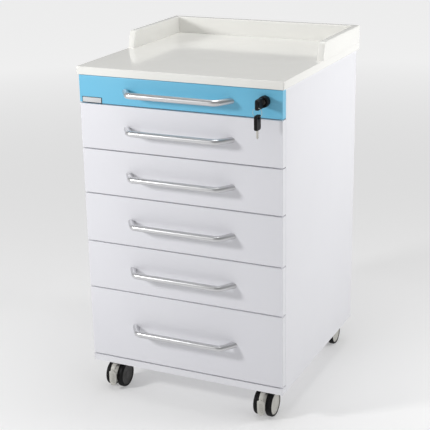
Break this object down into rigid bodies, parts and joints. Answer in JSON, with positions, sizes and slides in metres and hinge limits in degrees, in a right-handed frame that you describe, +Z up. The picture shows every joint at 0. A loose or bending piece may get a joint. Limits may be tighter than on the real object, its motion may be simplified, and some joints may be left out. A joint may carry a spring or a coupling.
{
  "type": "instrument cart",
  "caption": "Wheeled veterinary instrument cart: steel cabinet of sliding drawers with bow handles, a key lock, a stone worktop with a raised edge and swivel twin-wheel casters.",
  "frame": {"origin": "on the floor, below the middle of the overall box", "axes": "+Z up, drawer fronts face -Y, +X to the right seen from the front"},
  "size_m": [0.488, 0.5374, 0.8147],
  "materials": {
    "artificial_stone": "polished, softly rounded edges",
    "white_powder_coat": "smooth satin powder coat",
    "blue_powder_coat": "smooth satin powder coat",
    "zinc_plated_steel": "bright zinc plated",
    "satin_handle_metal": "satin polished tube",
    "black_plastic": "fine moulded texture",
    "key_steel": "nickel plated",
    "nameplate_metal": "brushed with a dark edge",
    "grey_plastic": "moulded nylon",
    "black_tyre": "matte tread"
  },
  "bodies": {
    "cabinet": {"worktop_slab": "artificial_stone", "worktop_rim": "artificial_stone", "side_panel_left": "white_powder_coat", "side_panel_right": "white_powder_coat", "back_panel": "white_powder_coat", "base_pan": "white_powder_coat", "inner_frame": "zinc_plated_steel", "slide_outer_members": "zinc_plated_steel", "frame_fasteners": "zinc_plated_steel", "caster_plates": "zinc_plated_steel"},
    "drawer_1": {"drawer_front_1": "blue_powder_coat", "drawer_box_1": "white_powder_coat", "handle_1": "satin_handle_metal", "slide_inner_1": "zinc_plated_steel", "nameplate": "nameplate_metal", "lock_barrel": "black_plastic"},
    "slide_mid_1": {"slide_mid_1": "zinc_plated_steel"},
    "drawer_2": {"drawer_front_2": "white_powder_coat", "drawer_box_2": "white_powder_coat", "handle_2": "satin_handle_metal", "slide_inner_2": "zinc_plated_steel"},
    "slide_mid_2": {"slide_mid_2": "zinc_plated_steel"},
    "drawer_3": {"drawer_front_3": "white_powder_coat", "drawer_box_3": "white_powder_coat", "handle_3": "satin_handle_metal", "slide_inner_3": "zinc_plated_steel"},
    "slide_mid_3": {"slide_mid_3": "zinc_plated_steel"},
    "drawer_4": {"drawer_front_4": "white_powder_coat", "drawer_box_4": "white_powder_coat", "handle_4": "satin_handle_metal", "slide_inner_4": "zinc_plated_steel"},
    "slide_mid_4": {"slide_mid_4": "zinc_plated_steel"},
    "drawer_5": {"drawer_front_5": "white_powder_coat", "drawer_box_5": "white_powder_coat", "handle_5": "satin_handle_metal", "slide_inner_5": "zinc_plated_steel"},
    "slide_mid_5": {"slide_mid_5": "zinc_plated_steel"},
    "drawer_6": {"drawer_front_6": "white_powder_coat", "drawer_box_6": "white_powder_coat", "handle_6": "satin_handle_metal", "slide_inner_6": "zinc_plated_steel"},
    "slide_mid_6": {"slide_mid_6": "zinc_plated_steel"},
    "key": {"lock_key": "black_plastic", "lock_cam": "key_steel"},
    "key_ring": {"key_ring": "key_steel"},
    "spare_key": {"spare_key": "black_plastic"},
    "caster_fl": {"caster_hood_fl": "grey_plastic"},
    "wheel_fl_left": {"wheel_fl_left": "black_tyre"},
    "wheel_fl_right": {"wheel_fl_right": "black_tyre"},
    "brake_fl": {"brake_pedal_fl": "grey_plastic"},
    "caster_fr": {"caster_hood_fr": "grey_plastic"},
    "wheel_fr_left": {"wheel_fr_left": "black_tyre"},
    "wheel_fr_right": {"wheel_fr_right": "black_tyre"},
    "brake_fr": {"brake_pedal_fr": "grey_plastic"},
    "caster_rl": {"caster_hood_rl": "grey_plastic"},
    "wheel_rl_left": {"wheel_rl_left": "black_tyre"},
    "wheel_rl_right": {"wheel_rl_right": "black_tyre"},
    "caster_rr": {"caster_hood_rr": "grey_plastic"},
    "wheel_rr_left": {"wheel_rr_left": "black_tyre"},
    "wheel_rr_right": {"wheel_rr_right": "black_tyre"}
  },
  "joints": [
    {"name": "drawer_1_slide", "type": "slide", "parent": "cabinet", "child": "drawer_1", "axis": [0, -1, 0], "range_m": [0, 0.32]},
    {"name": "slide_mid_1_travel", "type": "slide", "parent": "cabinet", "child": "slide_mid_1", "axis": [0, -1, 0], "range_m": [0, 0.16]},
    {"name": "drawer_2_slide", "type": "slide", "parent": "cabinet", "child": "drawer_2", "axis": [0, -1, 0], "range_m": [0, 0.32]},
    {"name": "slide_mid_2_travel", "type": "slide", "parent": "cabinet", "child": "slide_mid_2", "axis": [0, -1, 0], "range_m": [0, 0.16]},
    {"name": "drawer_3_slide", "type": "slide", "parent": "cabinet", "child": "drawer_3", "axis": [0, -1, 0], "range_m": [0, 0.32]},
    {"name": "slide_mid_3_travel", "type": "slide", "parent": "cabinet", "child": "slide_mid_3", "axis": [0, -1, 0], "range_m": [0, 0.16]},
    {"name": "drawer_4_slide", "type": "slide", "parent": "cabinet", "child": "drawer_4", "axis": [0, -1, 0], "range_m": [0, 0.32]},
    {"name": "slide_mid_4_travel", "type": "slide", "parent": "cabinet", "child": "slide_mid_4", "axis": [0, -1, 0], "range_m": [0, 0.16]},
    {"name": "drawer_5_slide", "type": "slide", "parent": "cabinet", "child": "drawer_5", "axis": [0, -1, 0], "range_m": [0, 0.32]},
    {"name": "slide_mid_5_travel", "type": "slide", "parent": "cabinet", "child": "slide_mid_5", "axis": [0, -1, 0], "range_m": [0, 0.16]},
    {"name": "drawer_6_slide", "type": "slide", "parent": "cabinet", "child": "drawer_6", "axis": [0, -1, 0], "range_m": [0, 0.32]},
    {"name": "slide_mid_6_travel", "type": "slide", "parent": "cabinet", "child": "slide_mid_6", "axis": [0, -1, 0], "range_m": [0, 0.16]},
    {"name": "key_turn", "type": "hinge", "parent": "drawer_1", "child": "key", "pos_m": [0.201, -0.2173, 0.732], "axis": [0, 1, 0], "range_deg": [0, 90]},
    {"name": "key_ring_swing", "type": "hinge", "parent": "key", "child": "key_ring", "pos_m": [0.201, -0.2577, 0.7266], "axis": [1, 0, 0], "range_deg": [-30, 15]},
    {"name": "spare_key_swing", "type": "hinge", "parent": "key_ring", "child": "spare_key", "pos_m": [0.201, -0.2577, 0.7066], "axis": [1, 0, 0], "range_deg": [-25, 25]},
    {"name": "caster_fl_swivel", "type": "hinge", "parent": "cabinet", "child": "caster_fl", "pos_m": [-0.19, -0.1673, 0.07], "axis": [0, 0, 1], "continuous": true},
    {"name": "wheel_fl_left_spin", "type": "hinge", "parent": "caster_fl", "child": "wheel_fl_left", "pos_m": [-0.20425, -0.1873, 0.03], "axis": [1, 0, 0], "continuous": true},
    {"name": "wheel_fl_right_spin", "type": "hinge", "parent": "caster_fl", "child": "wheel_fl_right", "pos_m": [-0.17575, -0.1873, 0.03], "axis": [1, 0, 0], "continuous": true},
    {"name": "brake_fl_pedal", "type": "hinge", "parent": "caster_fl", "child": "brake_fl", "pos_m": [-0.19, -0.2013, 0.0637], "axis": [-1, 0, 0], "range_deg": [0, 18]},
    {"name": "caster_fr_swivel", "type": "hinge", "parent": "cabinet", "child": "caster_fr", "pos_m": [0.19, -0.1673, 0.07], "axis": [0, 0, 1], "continuous": true},
    {"name": "wheel_fr_left_spin", "type": "hinge", "parent": "caster_fr", "child": "wheel_fr_left", "pos_m": [0.17575, -0.1873, 0.03], "axis": [1, 0, 0], "continuous": true},
    {"name": "wheel_fr_right_spin", "type": "hinge", "parent": "caster_fr", "child": "wheel_fr_right", "pos_m": [0.20425, -0.1873, 0.03], "axis": [1, 0, 0], "continuous": true},
    {"name": "brake_fr_pedal", "type": "hinge", "parent": "caster_fr", "child": "brake_fr", "pos_m": [0.19, -0.2013, 0.0637], "axis": [-1, 0, 0], "range_deg": [0, 18]},
    {"name": "caster_rl_swivel", "type": "hinge", "parent": "cabinet", "child": "caster_rl", "pos_m": [-0.19, 0.2097, 0.07], "axis": [0, 0, 1], "continuous": true},
    {"name": "wheel_rl_left_spin", "type": "hinge", "parent": "caster_rl", "child": "wheel_rl_left", "pos_m": [-0.20425, 0.2297, 0.03], "axis": [1, 0, 0], "continuous": true},
    {"name": "wheel_rl_right_spin", "type": "hinge", "parent": "caster_rl", "child": "wheel_rl_right", "pos_m": [-0.17575, 0.2297, 0.03], "axis": [1, 0, 0], "continuous": true},
    {"name": "caster_rr_swivel", "type": "hinge", "parent": "cabinet", "child": "caster_rr", "pos_m": [0.19, 0.2097, 0.07], "axis": [0, 0, 1], "continuous": true},
    {"name": "wheel_rr_left_spin", "type": "hinge", "parent": "caster_rr", "child": "wheel_rr_left", "pos_m": [0.17575, 0.2297, 0.03], "axis": [1, 0, 0], "continuous": true},
    {"name": "wheel_rr_right_spin", "type": "hinge", "parent": "caster_rr", "child": "wheel_rr_right", "pos_m": [0.20425, 0.2297, 0.03], "axis": [1, 0, 0], "continuous": true}
  ],
  "couplings": [
    {"joint": "slide_mid_1_travel", "follows": "drawer_1_slide", "ratio": 0.5},
    {"joint": "slide_mid_2_travel", "follows": "drawer_2_slide", "ratio": 0.5},
    {"joint": "slide_mid_3_travel", "follows": "drawer_3_slide", "ratio": 0.5},
    {"joint": "slide_mid_4_travel", "follows": "drawer_4_slide", "ratio": 0.5},
    {"joint": "slide_mid_5_travel", "follows": "drawer_5_slide", "ratio": 0.5},
    {"joint": "slide_mid_6_travel", "follows": "drawer_6_slide", "ratio": 0.5}
  ]
}
